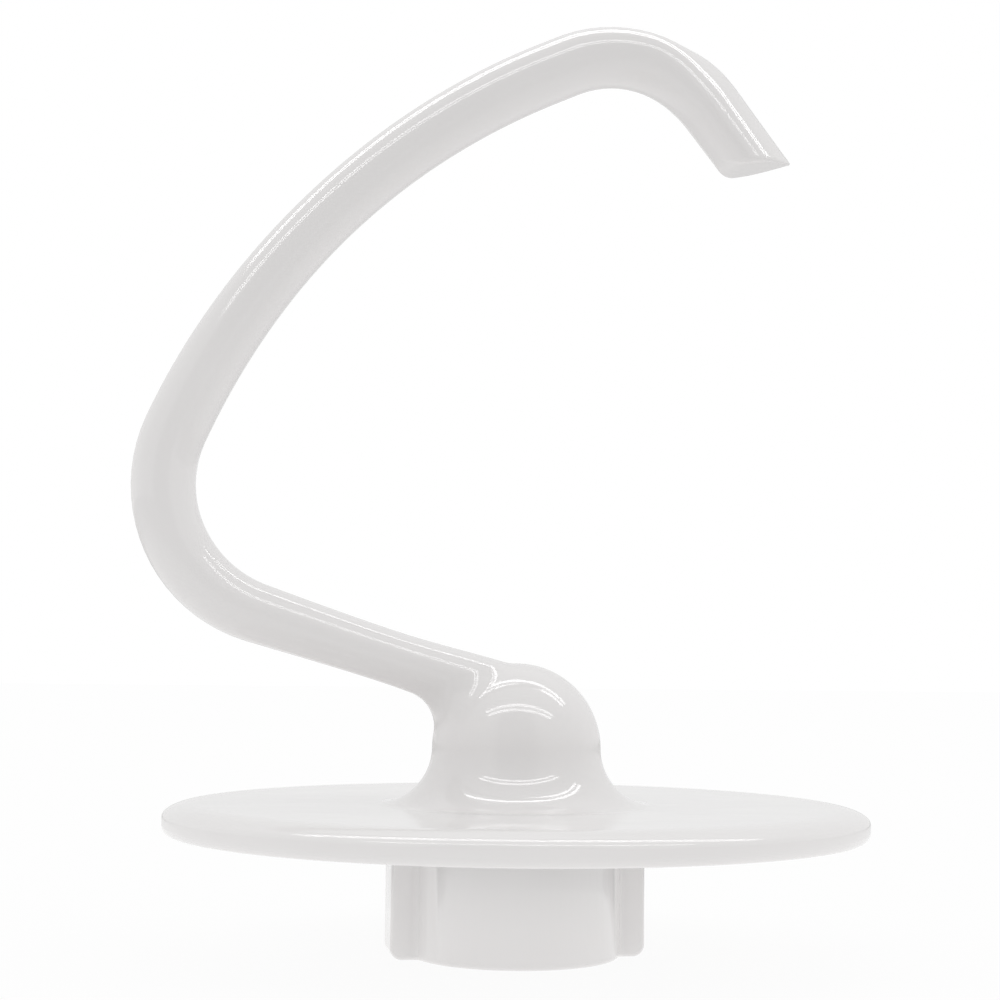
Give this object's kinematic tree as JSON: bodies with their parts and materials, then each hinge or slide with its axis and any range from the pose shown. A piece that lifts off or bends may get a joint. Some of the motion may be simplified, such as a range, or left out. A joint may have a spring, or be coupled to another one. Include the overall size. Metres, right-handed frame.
{
  "type": "stand mixer dough hook",
  "caption": "White coated C-shaped dough hook rising from a domed hub on a round drip disc, with a lugged drive collar, a blind shaft socket and a bayonet slot.",
  "frame": {"origin": "centre of the drive socket at the collar's end face, which the hook stands on", "axes": "+Z along the socket's axis, up through the disc and hub to the hook; the hook's own plane is XZ, with its elbow towards -X and its tip towards +X; the bayonet slot is at +Y"},
  "size_m": [0.1002, 0.095, 0.1295],
  "materials": {
    "white_coat": "gloss"
  },
  "bodies": {
    "root": {"dough_hook": "white_coat"}
  },
  "joints": []
}
